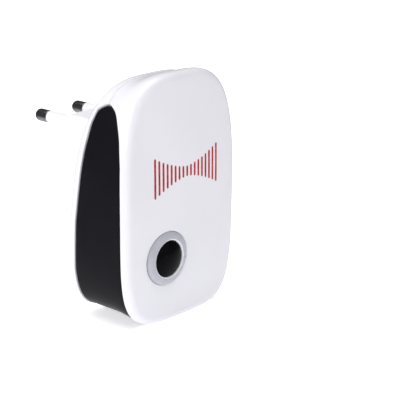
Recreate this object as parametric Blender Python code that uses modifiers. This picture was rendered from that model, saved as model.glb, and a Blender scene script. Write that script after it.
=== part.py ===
"""Plug-in ultrasonic pest repeller: white front and back covers, a black side band, a two-pin plug base,
a round push button in a grey bezel, and the electronics inside. Metres, +Z up, the front faces -Y.
The origin is the centre of the plug base's flat socket face."""

import math

import bmesh
import bpy
from mathutils import Matrix, Vector

MM = 0.001

# Driving dimensions. Body positions are measured from the front plane (y), the lowest point (z) and the
# middle (x), under an empty that puts the origin on the socket face.
HALF_WIDTH = 28.9 * MM
HEIGHT = 92.7 * MM
DEPTH = 33.8 * MM
WALL = 1.8 * MM
GAP = 0.3 * MM
TOP_SQUARENESS = 3.2
BOTTOM_SQUARENESS = 4.5
FACE_BULGE_X = 1.5 * MM
FACE_BULGE_Z = 1.0 * MM
FRONT_ROUND = 2.9 * MM
BACK_ROUND = 4.0 * MM
BACK_SLOPE_START = 23 * MM
BACK_SLOPE_DROP = 14.8 * MM
BACK_SLOPE_POWER = 1.83
# Behind the front edge the top falls away and the bottom rises a little.
TOP_FALL = 2.5 * MM
BOTTOM_RISE = 1.34 * MM
FALL_START = 4.5 * MM
FALL_LENGTH = 9.9 * MM

# The black band's middle comes forwards with height, then leans back again near its pointed top.
BAND_TOP = 84.1 * MM
BAND_BOTTOM_MIDDLE = 17.6 * MM
BAND_TOP_MIDDLE = 13.8 * MM
BAND_RISE_START = 15 * MM
BAND_RISE_LENGTH = 64 * MM
BAND_RISE_POWER = 0.69
BAND_TIP_START = 70 * MM
BAND_TIP_LENGTH = 14 * MM
BAND_TIP_LEAN = 1.8 * MM
BAND_HALF_DEPTH = 12.3 * MM
BAND_CLOSING_LENGTH = 46.4 * MM
BAND_CLOSING_POWER = 0.35
BAND_TIP_ROUNDING = 1.0 * MM
BAND_INSET = 0.35 * MM
BAND_END_HALF_DEPTH = 0.9 * MM
BAND_END_CLEARANCE = 0.6 * MM
# The straight part of each cover's side is at least this deep before the band starts.
LEAST_FRONT_SIDE = 0.7 * MM
LEAST_BACK_SIDE = 0.25 * MM

SOCKET_FACE = 50.0 * MM
PIN_HEIGHT = 67.8 * MM
PIN_SPACING = 19.0 * MM
PIN_LENGTH = 19.0 * MM
PIN_RADIUS = 2.4 * MM
PIN_BARE = 7.0 * MM
PIN_CORE_RADIUS = 1.9 * MM
PIN_TAIL = 18.6 * MM
SLEEVE_RADIUS = 2.35 * MM
SLEEVE_INNER = 2.05 * MM
SLEEVE_SEAT = 8.0 * MM
BASE_HALF_WIDTH = 12.6 * MM
BASE_TOP = 71.1 * MM
BASE_FACE_BOTTOM = 64.5 * MM
BASE_ROOT_BOTTOM = 62.0 * MM
BASE_FLARE = 1.4 * MM
BASE_CHAMFER = 4.2 * MM
BASE_CORNER = 2.2 * MM
FLANGE_FRONT = 21.0 * MM
FLANGE_BACK = 22.8 * MM

BUTTON_X = -9.3 * MM
BUTTON_Z = 25.3 * MM
BEZEL_RADIUS = 10.2 * MM
BEZEL_HOLE_CLEARANCE = 0.3 * MM
BEZEL_INNER = 7.05 * MM
CAP_RADIUS = 6.8 * MM
CAP_RIM = -0.3 * MM
CAP_CROWN = 1.3 * MM
LAMP_CIRCLE = 8.1 * MM

BOARD_FRONT = 13.0 * MM
BOARD_THICKNESS = 1.6 * MM
BOARD_BACK = BOARD_FRONT + BOARD_THICKNESS
BOARD_LOW = 12.0 * MM
BOARD_HIGH = 70.0 * MM
BOARD_HALF_WIDTH = 18.0 * MM
BOARD_HOLE_RADIUS = 1.4 * MM
BOARD_SCREWS = ((-14.5 * MM, 66.0 * MM), (14.0 * MM, 18.0 * MM))

# Housing screw places: x, z and the depth where the front boss meets the back post.
HOUSING_SCREWS = {
    "housing_screw_lower_left": (-21.4 * MM, 21.0 * MM, 18.0 * MM),
    "housing_screw_lower_right": (21.4 * MM, 21.0 * MM, 18.0 * MM),
    "housing_screw_upper_left": (-18.2 * MM, 77.0 * MM, 13.0 * MM),
    "housing_screw_upper_right": (18.2 * MM, 77.0 * MM, 13.0 * MM),
}
BOSS_RADIUS = 3.1 * MM
BOSS_BORE = 1.5 * MM
BOARD_POST_RADIUS = BOSS_RADIUS * 0.8
BOARD_POST_BORE = BOSS_BORE * 0.8
BOARD_SCREW_GRIP = 6.0 * MM
POST_RADIUS = 3.6 * MM
COUNTERBORE_RADIUS = 2.7 * MM
SCREW_HOLE_RADIUS = 1.6 * MM
SCREW_HEAD_RADIUS = 2.3 * MM
SCREW_SHANK_RADIUS = 1.2 * MM
SCREW_FLOOR = 2.0 * MM
SCREW_GRIP = 6.0 * MM

PERIMETER_POINTS = 76
OUTLINE_SAMPLES = 1000
QUARTER_WARP = 2.4
APEX_WEIGHT = 2.5
ROUND_STEPS = 3
BAND_STEPS = 4
SIDES = 24
SMALL_SIDES = 16
RING_SIDES = 36
# How far a cutter goes on past the face that it opens.
PAST = 1 * MM


def clear_scene():
    for obj in list(bpy.data.objects):
        bpy.data.objects.remove(obj, do_unlink=True)


def new_collection(name):
    collection = bpy.data.collections.new(name)
    bpy.context.scene.collection.children.link(collection)
    return collection


clear_scene()
PARTS = new_collection("pest_repeller")
CUTTERS = new_collection("cutters")

BODY_FRAME = bpy.data.objects.new("body_frame", None)
BODY_FRAME.location = (0, -SOCKET_FACE, -PIN_HEIGHT)
PARTS.objects.link(BODY_FRAME)


def make_material(name, colour, roughness, metallic=0.0):
    material = bpy.data.materials.new(name)
    material.use_nodes = True
    shader = material.node_tree.nodes["Principled BSDF"]
    shader.inputs["Base Color"].default_value = (*colour, 1)
    shader.inputs["Roughness"].default_value = roughness
    shader.inputs["Metallic"].default_value = metallic
    return material


def add_object(name, data, colour, roughness=0.4, metallic=0.0, location=(0, 0, 0), rotation=(0, 0, 0)):
    """A named part of the assembly, with its own material, placed in the body's frame."""
    obj = bpy.data.objects.new(name, data)
    obj.data.materials.append(make_material(name, colour, roughness, metallic))
    obj.location = location
    obj.rotation_euler = rotation
    obj.parent = BODY_FRAME
    PARTS.objects.link(obj)
    return obj


def make_helper(obj):
    """Turns a part into a cutter or a joining shape, which isn't part of the object."""
    PARTS.objects.unlink(obj)
    CUTTERS.objects.link(obj)
    obj.hide_render = True
    obj.display_type = "WIRE"
    return obj


def finish_mesh(bm, name, smooth_angle=35):
    bmesh.ops.recalc_face_normals(bm, faces=bm.faces)
    mesh = bpy.data.meshes.new(name)
    bm.to_mesh(mesh)
    bm.free()
    mesh.shade_smooth()
    mesh.set_sharp_from_angle(angle=math.radians(smooth_angle))
    return mesh


def box_mesh(name, low, high, bevel=0.0):
    bm = bmesh.new()
    bmesh.ops.create_cube(bm, size=1)
    size = Vector(high) - Vector(low)
    middle = (Vector(high) + Vector(low)) / 2
    bmesh.ops.scale(bm, vec=size, verts=bm.verts)
    bmesh.ops.translate(bm, vec=middle, verts=bm.verts)
    if bevel:
        bmesh.ops.bevel(bm, geom=bm.edges, offset=bevel, segments=1, affect="EDGES", profile=0.5)
    return finish_mesh(bm, name)


def add_cylinder(bm, radius, start, end, sides=SIDES):
    """A capped cylinder along +Y between two points that share x and z."""
    start = Vector(start)
    end = Vector(end)
    turn = Matrix.Rotation(math.radians(-90), 4, "X")
    place = Matrix.Translation((start + end) / 2) @ turn
    bmesh.ops.create_cone(
        bm,
        cap_ends=True,
        segments=sides,
        radius1=radius,
        radius2=radius,
        depth=(end - start).length,
        matrix=place,
    )


def cylinder_mesh(name, radius, start, end, sides=SIDES):
    bm = bmesh.new()
    add_cylinder(bm, radius, start, end, sides)
    return finish_mesh(bm, name)


def turned(name, profile, colour, location, roughness=0.4, metallic=0.0, sides=SIDES, closed=False):
    """A turned part. The profile is (radius, height) from its front end down its outer side; the turned
    axis points to -Y, out of the front."""
    mesh = bpy.data.meshes.new(name)
    points = [(radius, 0, height) for radius, height in profile]
    edges = [(i, i + 1) for i in range(len(points) - 1)]
    if closed:
        edges.append((len(points) - 1, 0))
    mesh.from_pydata(points, edges, [])
    obj = add_object(name, mesh, colour, roughness, metallic, location, (math.radians(90), 0, 0))
    screw = obj.modifiers.new("turn", "SCREW")
    screw.axis = "Z"
    screw.steps = sides
    screw.render_steps = sides
    screw.use_merge_vertices = True
    screw.merge_threshold = 0.00001
    screw.use_smooth_shade = True
    return obj


def wire(name, points, radius, colour, roughness=0.5, metallic=0.0):
    """A short round lead along a smooth curve through its points."""
    curve = bpy.data.curves.new(name, "CURVE")
    curve.dimensions = "3D"
    curve.bevel_depth = radius
    curve.bevel_resolution = 2
    curve.use_fill_caps = True
    path = smooth_path([Vector(point) for point in points])
    spline = curve.splines.new("POLY")
    spline.points.add(len(path) - 1)
    for target, point in zip(spline.points, path):
        target.co = (*point, 1)
    return add_object(name, curve, colour, roughness, metallic)


def smooth_path(points, steps=4):
    """Catmull-Rom points through the given ones."""
    ends = [2 * points[0] - points[1], *points, 2 * points[-1] - points[-2]]
    path = []
    for before, start, end, after in zip(ends, ends[1:], ends[2:], ends[3:]):
        for step in range(steps):
            t = step / steps
            part_1 = 2 * start
            part_2 = (end - before) * t
            part_3 = (2 * before - 5 * start + 4 * end - after) * t**2
            part_4 = (3 * start - before - 3 * end + after) * t**3
            path.append((part_1 + part_2 + part_3 + part_4) / 2)
    path.append(points[-1])
    return path


def boolean(obj, name, operation, operand):
    modifier = obj.modifiers.new(name, "BOOLEAN")
    modifier.operation = operation
    modifier.solver = "EXACT"
    modifier.object = operand
    return modifier


def solidify(obj, thickness):
    modifier = obj.modifiers.new("wall", "SOLIDIFY")
    modifier.thickness = thickness
    modifier.offset = -1
    return modifier


# The body's shape.


def outline(turn, inset=0.0):
    """Point (x, z) of the body's outline, a superellipse that is squarer at the bottom."""
    power = 2 / (TOP_SQUARENESS if math.sin(turn) > 0 else BOTTOM_SQUARENESS)
    across = math.copysign(abs(math.cos(turn)) ** power, math.cos(turn))
    along = math.copysign(abs(math.sin(turn)) ** power, math.sin(turn))
    return (HALF_WIDTH - inset) * across, HEIGHT / 2 + (HEIGHT / 2 - inset) * along


def face_depth(x, z):
    """The front face's y, a gentle bulge whose middle is at 0."""
    return FACE_BULGE_X * (x / HALF_WIDTH) ** 2 + FACE_BULGE_Z * (2 * z / HEIGHT - 1) ** 2


def back_depth(z):
    """The back's y: flat low down, then sloping forwards to the top."""
    rise = max(0, z - BACK_SLOPE_START) / (HEIGHT - BACK_SLOPE_START)
    return DEPTH - BACK_SLOPE_DROP * rise**BACK_SLOPE_POWER


def eased(share):
    """0 to 1 with a soft start and end."""
    share = min(1, max(0, share))
    return share * share * (3 - 2 * share)


def settled(x, y, z):
    """The point after the top's fall and the bottom's rise towards the back."""
    share = eased((y - FALL_START) / FALL_LENGTH)
    high = max(0, 2 * z / HEIGHT - 1)
    low = max(0, 1 - 3 * z / HEIGHT)
    return x, y, z - TOP_FALL * share * high**3 + BOTTOM_RISE * share * low**2


def band_middle(z):
    rise = min(1, max(0, z - BAND_RISE_START) / BAND_RISE_LENGTH)
    lean = BAND_TIP_LEAN * eased((z - BAND_TIP_START) / BAND_TIP_LENGTH)
    return BAND_BOTTOM_MIDDLE + (BAND_TOP_MIDDLE - BAND_BOTTOM_MIDDLE) * rise**BAND_RISE_POWER + lean


def band_half_depth(z):
    """Half the black band's depth at a height, closing to nothing at its rounded top."""
    below = max(0, BAND_TOP - z)
    closing = min(1, below / BAND_CLOSING_LENGTH) ** BAND_CLOSING_POWER
    return BAND_HALF_DEPTH * closing * (1 - math.exp(-below / BAND_TIP_ROUNDING))


def quarter_shares():
    """Shares of a quarter turn, closer together at its ends, where the outline runs straight."""
    shares = []
    for i in range(OUTLINE_SAMPLES):
        near = (i / OUTLINE_SAMPLES) ** QUARTER_WARP
        far = (1 - i / OUTLINE_SAMPLES) ** QUARTER_WARP
        shares.append(near / (near + far))
    return shares


def perimeter():
    """Turns round the outline, evenly spaced along it and closer together where the band ends."""
    turns = [(quarter + share) * math.pi / 2 for quarter in (-1, 0, 1, 2) for share in quarter_shares()]
    turns.append(3 * math.pi / 2)
    lengths = [0.0]
    for before, after in zip(turns, turns[1:]):
        x_0, z_0 = outline(before)
        x_1, z_1 = outline(after)
        change = abs(band_half_depth(z_1) - band_half_depth(z_0))
        lengths.append(lengths[-1] + math.hypot(x_1 - x_0, z_1 - z_0) + APEX_WEIGHT * change)
    chosen = []
    place = 0
    for i in range(PERIMETER_POINTS):
        wanted = lengths[-1] * i / PERIMETER_POINTS
        while lengths[place + 1] < wanted:
            place += 1
        chosen.append(turns[place])
    return chosen


TURNS = perimeter()


def loft(name, rings, centre):
    """An open surface through rings of points, closed over its first ring by a fan at the centre."""
    bm = bmesh.new()
    hub = bm.verts.new(centre)
    rows = [[bm.verts.new(point) for point in ring] for ring in rings]
    count = len(rows[0])
    for i in range(count):
        j = (i + 1) % count
        bm.faces.new((hub, rows[0][i], rows[0][j]))
        for inner, outer in zip(rows, rows[1:]):
            bm.faces.new((inner[i], outer[i], outer[j], inner[j]))
    return bm


def face_outwards(bm, direction):
    """Turns every face so that the first one looks along the direction."""
    bmesh.ops.recalc_face_normals(bm, faces=bm.faces)
    bm.faces.ensure_lookup_table()
    if bm.faces[0].normal.dot(Vector(direction)) < 0:
        bmesh.ops.reverse_faces(bm, faces=bm.faces)


def open_mesh(bm, name):
    mesh = bpy.data.meshes.new(name)
    bm.to_mesh(mesh)
    bm.free()
    mesh.shade_smooth()
    mesh.set_sharp_from_angle(angle=math.radians(40))
    return mesh


def shrunk(point, share):
    """A point of a ring drawn in towards the middle of the front or back."""
    x, z = point
    return x * share, HEIGHT / 2 + (z - HEIGHT / 2) * share


def front_surface():
    rings = []
    for share in (0.35, 0.7):
        flat = [shrunk(outline(turn, FRONT_ROUND), share) for turn in TURNS]
        rings.append([(x, face_depth(x, z), z) for x, z in flat])
    for step in range(ROUND_STEPS + 1):
        angle = math.pi / 2 * step / ROUND_STEPS
        ring = []
        for turn in TURNS:
            x_in, z_in = outline(turn, FRONT_ROUND)
            x, z = outline(turn, FRONT_ROUND * (1 - math.sin(angle)))
            ring.append((x, face_depth(x_in, z_in) + FRONT_ROUND * (1 - math.cos(angle)), z))
        rings.append(ring)
    seam = []
    for turn in TURNS:
        x, z = outline(turn)
        y = band_middle(z) - band_half_depth(z) - GAP / 2
        x_in, z_in = outline(turn, FRONT_ROUND)
        wall_start = face_depth(x_in, z_in) + FRONT_ROUND
        seam.append(settled(x, max(y, wall_start + LEAST_FRONT_SIDE), z))
    rings.append(seam)
    bm = loft("front", rings, (0, 0, HEIGHT / 2))
    face_outwards(bm, (0, -1, 0))
    return open_mesh(bm, "front_cover")


def back_surface():
    rings = []
    for share in (0.35, 0.7):
        flat = [shrunk(outline(turn, BACK_ROUND), share) for turn in TURNS]
        rings.append([settled(x, back_depth(z), z) for x, z in flat])
    for step in range(ROUND_STEPS + 1):
        angle = math.pi / 2 * step / ROUND_STEPS
        ring = []
        for turn in TURNS:
            x_in, z_in = outline(turn, BACK_ROUND)
            x, z = outline(turn, BACK_ROUND * (1 - math.sin(angle)))
            ring.append(settled(x, back_depth(z_in) - BACK_ROUND * (1 - math.cos(angle)), z))
        rings.append(ring)
    seam = []
    for turn in TURNS:
        x, z = outline(turn)
        x_in, z_in = outline(turn, BACK_ROUND)
        y = band_middle(z) + band_half_depth(z) + GAP / 2
        wall_end = back_depth(z_in) - BACK_ROUND
        seam.append(settled(x, min(y, wall_end - LEAST_BACK_SIDE), z))
    rings.append(seam)
    bm = loft("back", rings, (0, back_depth(HEIGHT / 2), HEIGHT / 2))
    face_outwards(bm, (0, 1, 0))
    return open_mesh(bm, "back_cover")


def drawn_half_depth(z):
    """The band's own half depth, which leaves clearance at its pointed ends."""
    return band_half_depth(z + BAND_END_CLEARANCE)


def band_surface():
    """The band's outer skin: columns across its depth, from one pointed end round the bottom to the other."""
    covered = [turn for turn in TURNS if drawn_half_depth(outline(turn)[1]) > BAND_END_HALF_DEPTH]
    covered.sort(key=lambda turn: (turn + 3 * math.pi / 2) % (2 * math.pi))
    bm = bmesh.new()
    columns = []
    for turn in covered:
        x, z = outline(turn, BAND_INSET)
        x_front, z_front = outline(turn)
        x_in, z_in = outline(turn, FRONT_ROUND)
        x_back, z_back = outline(turn, BACK_ROUND)
        wall_start = face_depth(x_in, z_in) + FRONT_ROUND + LEAST_FRONT_SIDE
        wall_end = back_depth(z_back) - BACK_ROUND - LEAST_BACK_SIDE
        start = max(band_middle(z_front) - drawn_half_depth(z_front) - GAP / 2, wall_start) + GAP
        end = min(band_middle(z_front) + drawn_half_depth(z_front) + GAP / 2, wall_end) - GAP
        depths = [start + (end - start) * step / BAND_STEPS for step in range(BAND_STEPS + 1)]
        columns.append([bm.verts.new(settled(x, y, z)) for y in depths])
    for before, after in zip(columns, columns[1:]):
        for i in range(BAND_STEPS):
            bm.faces.new((before[i], before[i + 1], after[i + 1], after[i]))
    face_outwards(bm, (-1, 0, 0))
    return open_mesh(bm, "side_band")


def screw_bosses():
    """The front cover's four screw bosses and two board posts, joined to its inside."""
    bm = bmesh.new()
    for x, z, meet in HOUSING_SCREWS.values():
        add_cylinder(bm, BOSS_RADIUS, (x, face_depth(x, z) + WALL / 2, z), (x, meet - GAP / 2, z), SMALL_SIDES)
    for x, z in BOARD_SCREWS:
        start = face_depth(x, z) + WALL / 2
        add_cylinder(bm, BOARD_POST_RADIUS, (x, start, z), (x, BOARD_FRONT - GAP, z), SMALL_SIDES)
    return make_helper(add_object("front_bosses", finish_mesh(bm, "front_bosses"), (1, 1, 1)))


def boss_bores():
    bm = bmesh.new()
    for x, z, meet in HOUSING_SCREWS.values():
        add_cylinder(bm, BOSS_BORE, (x, meet - SCREW_GRIP - PAST, z), (x, meet + PAST, z), SMALL_SIDES)
    for x, z in BOARD_SCREWS:
        start = (x, BOARD_FRONT - BOARD_SCREW_GRIP, z)
        add_cylinder(bm, BOARD_POST_BORE, start, (x, BOARD_FRONT + PAST, z), SMALL_SIDES)
    return make_helper(add_object("front_bores", finish_mesh(bm, "front_bores"), (1, 1, 1)))


def bezel_hole():
    start = (BUTTON_X, -3 * MM, BUTTON_Z)
    end = (BUTTON_X, 6 * MM, BUTTON_Z)
    mesh = cylinder_mesh("bezel_hole", BEZEL_RADIUS + BEZEL_HOLE_CLEARANCE, start, end, RING_SIDES)
    return make_helper(add_object("bezel_hole", mesh, (1, 1, 1)))


def front_cover():
    cover = add_object("front_cover", front_surface(), (0.86, 0.86, 0.88), 0.25)
    solidify(cover, WALL)
    boolean(cover, "bosses", "UNION", screw_bosses())
    boolean(cover, "bores", "DIFFERENCE", boss_bores())
    boolean(cover, "bezel_hole", "DIFFERENCE", bezel_hole())


def back_posts():
    bm = bmesh.new()
    for x, z, meet in HOUSING_SCREWS.values():
        add_cylinder(bm, POST_RADIUS, (x, meet + GAP / 2, z), (x, back_depth(z) - WALL / 2, z), SMALL_SIDES)
    return make_helper(add_object("back_posts", finish_mesh(bm, "back_posts"), (1, 1, 1)))


def post_bores():
    """Counterbores from behind, each down to the floor that its screw's head sits on."""
    bm = bmesh.new()
    for x, z, meet in HOUSING_SCREWS.values():
        floor = meet + SCREW_FLOOR
        add_cylinder(bm, COUNTERBORE_RADIUS, (x, floor, z), (x, DEPTH + 3 * MM, z), SMALL_SIDES)
    return make_helper(add_object("post_counterbores", finish_mesh(bm, "post_counterbores"), (1, 1, 1)))


def post_holes():
    bm = bmesh.new()
    for x, z, meet in HOUSING_SCREWS.values():
        start = (x, meet - PAST, z)
        add_cylinder(bm, SCREW_HOLE_RADIUS, start, (x, meet + SCREW_FLOOR + PAST, z), SMALL_SIDES)
    return make_helper(add_object("post_holes", finish_mesh(bm, "post_holes"), (1, 1, 1)))


def base_window():
    half = BASE_HALF_WIDTH + BASE_FLARE + GAP
    low = (-half, 16 * MM, BASE_ROOT_BOTTOM - GAP)
    high = (half, DEPTH + 3 * MM, BASE_TOP + GAP)
    return make_helper(add_object("base_window", box_mesh("base_window", low, high), (1, 1, 1)))


def back_cover():
    cover = add_object("back_cover", back_surface(), (0.86, 0.86, 0.88), 0.25)
    solidify(cover, WALL)
    boolean(cover, "posts", "UNION", back_posts())
    boolean(cover, "counterbores", "DIFFERENCE", post_bores())
    boolean(cover, "screw_holes", "DIFFERENCE", post_holes())
    boolean(cover, "base_window", "DIFFERENCE", base_window())


def side_band():
    band = add_object("side_band", band_surface(), (0.012, 0.012, 0.016), 0.35)
    solidify(band, WALL)


def base_section(half_width, bottom, top, corner):
    """Points (x, z) of the plug base's section, a rectangle with cut corners."""
    right = half_width
    return [
        (-right + corner, bottom),
        (right - corner, bottom),
        (right, bottom + corner),
        (right, top - corner),
        (right - corner, top),
        (-right + corner, top),
        (-right, top - corner),
        (-right, bottom + corner),
    ]


def plug_base():
    """A loft from the flange's neck to the smaller socket face, with the flange joined to its root."""
    bm = bmesh.new()
    root_half = BASE_HALF_WIDTH + BASE_FLARE
    stations = [
        (FLANGE_FRONT + 0.5 * MM, root_half, BASE_ROOT_BOTTOM),
        (SOCKET_FACE - BASE_CHAMFER, BASE_HALF_WIDTH, BASE_ROOT_BOTTOM + 0.4 * MM),
        (SOCKET_FACE, BASE_HALF_WIDTH - 0.3 * MM, BASE_FACE_BOTTOM),
    ]
    rows = []
    for y, half_width, bottom in stations:
        section = base_section(half_width, bottom, BASE_TOP, BASE_CORNER)
        rows.append([bm.verts.new((x, y, z)) for x, z in section])
    for before, after in zip(rows, rows[1:]):
        for i in range(len(before)):
            j = (i + 1) % len(before)
            bm.faces.new((before[i], before[j], after[j], after[i]))
    bm.faces.new(rows[0])
    bm.faces.new(rows[-1])
    base = add_object("plug_base", finish_mesh(bm, "plug_base"), (0.84, 0.84, 0.86), 0.35)
    flange_low = (-root_half - 2 * MM, FLANGE_FRONT, BASE_ROOT_BOTTOM - 2 * MM)
    flange_high = (root_half + 2 * MM, FLANGE_BACK, BASE_TOP + 1.5 * MM)
    flange = box_mesh("base_flange", flange_low, flange_high)
    boolean(base, "flange", "UNION", make_helper(add_object("base_flange", flange, (1, 1, 1))))
    for side, x in (("left", -PIN_SPACING / 2), ("right", PIN_SPACING / 2)):
        seat = cylinder_mesh(
            "sleeve_seat",
            SLEEVE_RADIUS + 0.2 * MM,
            (x, SOCKET_FACE - SLEEVE_SEAT - GAP, PIN_HEIGHT),
            (x, SOCKET_FACE + 2 * MM, PIN_HEIGHT),
        )
        bore = cylinder_mesh(
            "pin_bore",
            PIN_CORE_RADIUS + 0.2 * MM,
            (x, FLANGE_FRONT - 2 * MM, PIN_HEIGHT),
            (x, SOCKET_FACE - 1 * MM, PIN_HEIGHT),
        )
        boolean(base, f"seat_{side}", "DIFFERENCE", make_helper(add_object(f"seat_{side}", seat, (1, 1, 1))))
        boolean(base, f"bore_{side}", "DIFFERENCE", make_helper(add_object(f"bore_{side}", bore, (1, 1, 1))))


def pins():
    """Each pin is one turned piece: a rounded bare tip, a thinner core inside its sleeve and a tail."""
    tip = SOCKET_FACE + PIN_LENGTH
    bare_start = tip - PIN_BARE
    sleeve_end = bare_start - 0.2 * MM
    for side, x in (("left", -PIN_SPACING / 2), ("right", PIN_SPACING / 2)):
        # Heights are along -Y from the tail, so the profile's front end is the tail.
        profile = [
            (0, -PIN_TAIL),
            (PIN_CORE_RADIUS * 0.75, -PIN_TAIL),
            (PIN_CORE_RADIUS, -PIN_TAIL - 1 * MM),
            (PIN_CORE_RADIUS, -bare_start),
            (PIN_RADIUS, -bare_start),
        ]
        round_start = tip - PIN_RADIUS * 0.9
        for step in range(5):
            angle = math.pi / 2 * step / 4
            profile.append((PIN_RADIUS * math.cos(angle), -round_start - PIN_RADIUS * 0.9 * math.sin(angle)))
        profile[-1] = (0, -tip)
        turned(f"pin_{side}", profile, (0.32, 0.31, 0.33), (x, 0, PIN_HEIGHT), 0.15, 1.0)
        outer = [
            (SLEEVE_INNER, -(SOCKET_FACE - SLEEVE_SEAT)),
            (SLEEVE_RADIUS, -(SOCKET_FACE - SLEEVE_SEAT)),
            (SLEEVE_RADIUS, -sleeve_end),
            (SLEEVE_INNER, -sleeve_end),
        ]
        turned(f"sleeve_{side}", outer, (0.83, 0.83, 0.86), (x, 0, PIN_HEIGHT), 0.45, closed=True)


def bezel_ring():
    """A raised ring whose crowned front slopes up to the button, with a skirt behind the cover's hole."""
    profile = [
        (BEZEL_INNER + 0.3 * MM, 0.75 * MM),
        (BEZEL_INNER + 1.5 * MM, 0.62 * MM),
        (BEZEL_RADIUS - 0.9 * MM, 0.25 * MM),
        (BEZEL_RADIUS, -0.3 * MM),
        (BEZEL_RADIUS, -2.3 * MM),
        (BEZEL_RADIUS - 1.05 * MM, -2.9 * MM),
        (BEZEL_INNER, -2.9 * MM),
        (BEZEL_INNER, 0.5 * MM),
    ]
    place = (BUTTON_X, 0, BUTTON_Z)
    turned("bezel_ring", profile, (0.42, 0.42, 0.47), place, 0.3, 0.3, RING_SIDES, closed=True)


def button():
    """The domed cap, its stem, and the switch whose plunger the stem pushes."""
    place = (BUTTON_X, 0, BUTTON_Z)
    skirt_end = 4.6 * MM
    profile = [(0, -CAP_RIM + CAP_CROWN)]
    steps = 5
    sphere = (CAP_RADIUS**2 + CAP_CROWN**2) / (2 * CAP_CROWN)
    for step in range(1, steps + 1):
        radius = CAP_RADIUS * step / steps
        height = math.sqrt(sphere**2 - radius**2) - (sphere - CAP_CROWN)
        profile.append((radius, -CAP_RIM + height))
    profile += [
        (CAP_RADIUS, -skirt_end),
        (CAP_RADIUS - 1.2 * MM, -skirt_end),
        (CAP_RADIUS - 1.2 * MM, -1.2 * MM),
        (0, -1.2 * MM),
    ]
    turned("button_cap", profile, (0.006, 0.006, 0.008), place, 0.08, sides=RING_SIDES)
    stem = [(0, -1.5 * MM), (1.9 * MM, -1.5 * MM), (1.9 * MM, -7.4 * MM), (0, -7.4 * MM)]
    turned("button_stem", stem, (0.02, 0.02, 0.02), place, 0.5, sides=SMALL_SIDES)
    plunger = [(0, -7.7 * MM), (1.6 * MM, -7.7 * MM), (1.6 * MM, -10.3 * MM), (0, -10.3 * MM)]
    turned("switch_plunger", plunger, (0.05, 0.05, 0.05), place, 0.5, sides=SMALL_SIDES)
    half = 3.0 * MM
    low = (BUTTON_X - half, 9.2 * MM, BUTTON_Z - half)
    high = (BUTTON_X + half, BOARD_FRONT - GAP, BUTTON_Z + half)
    body = add_object("switch_body", box_mesh("switch_body", low, high), (0.3, 0.3, 0.32), 0.4)
    well_start = (BUTTON_X, 8 * MM, BUTTON_Z)
    well_end = (BUTTON_X, 12.0 * MM, BUTTON_Z)
    well = cylinder_mesh("plunger_well", 1.8 * MM, well_start, well_end, SMALL_SIDES)
    boolean(body, "well", "DIFFERENCE", make_helper(add_object("plunger_well", well, (1, 1, 1))))


def ring_lamps():
    """Three small lamps on the board behind the bezel ring."""
    for i, name in enumerate(("lamp_upper", "lamp_left", "lamp_right")):
        angle = math.radians(90 + 120 * i)
        x = BUTTON_X + LAMP_CIRCLE * math.cos(angle)
        z = BUTTON_Z + LAMP_CIRCLE * math.sin(angle)
        profile = [
            (0, -6.2 * MM),
            (1.1 * MM, -6.6 * MM),
            (1.5 * MM, -7.4 * MM),
            (1.5 * MM, -11.6 * MM),
            (1.7 * MM, -11.6 * MM),
            (1.7 * MM, -12.7 * MM),
            (0, -12.7 * MM),
        ]
        turned(name, profile, (0.75, 0.8, 0.95), (x, 0, z), 0.1, sides=12)


def circuit_board():
    low = (-BOARD_HALF_WIDTH, BOARD_FRONT, BOARD_LOW)
    high = (BOARD_HALF_WIDTH, BOARD_BACK, BOARD_HIGH)
    board = add_object("circuit_board", box_mesh("circuit_board", low, high), (0.03, 0.16, 0.07), 0.5)
    bm = bmesh.new()
    for x, z in BOARD_SCREWS:
        add_cylinder(bm, BOARD_HOLE_RADIUS, (x, BOARD_FRONT - PAST, z), (x, BOARD_BACK + PAST, z), SMALL_SIDES)
    holes = make_helper(add_object("board_holes", finish_mesh(bm, "board_holes"), (1, 1, 1)))
    boolean(board, "screw_holes", "DIFFERENCE", holes)


def board_box(name, centre, size, colour, bevel=0.4 * MM, roughness=0.4, back=True):
    """A block on the back or front of the board: centre (x, z), size (x, y, z)."""
    x, z = centre
    if back:
        near = BOARD_BACK + GAP
        far = near + size[1]
    else:
        far = BOARD_FRONT - GAP
        near = far - size[1]
    low = (x - size[0] / 2, near, z - size[2] / 2)
    high = (x + size[0] / 2, far, z + size[2] / 2)
    add_object(name, box_mesh(name, low, high, bevel), colour, roughness)


def board_can(name, centre, radius, height, colour, roughness=0.3, metallic=0.0):
    """A round can standing on the back of the board."""
    x, z = centre
    low = BOARD_BACK + GAP
    mesh = cylinder_mesh(name, radius, (x, low, z), (x, low + height, z))
    add_object(name, mesh, colour, roughness, metallic)


def lying_part(name, centre, radius, length, colour):
    """A round body lying across the back of the board, with narrower end caps."""
    x, z = centre
    y = BOARD_BACK + GAP + radius
    profile = [
        (0, length / 2),
        (radius * 0.6, length / 2),
        (radius, length / 2 - radius * 0.4),
        (radius, -length / 2 + radius * 0.4),
        (radius * 0.6, -length / 2),
        (0, -length / 2),
    ]
    part = turned(name, profile, colour, (x, y, z), 0.5, sides=SMALL_SIDES)
    part.rotation_euler = (0, math.radians(90), 0)


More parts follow.
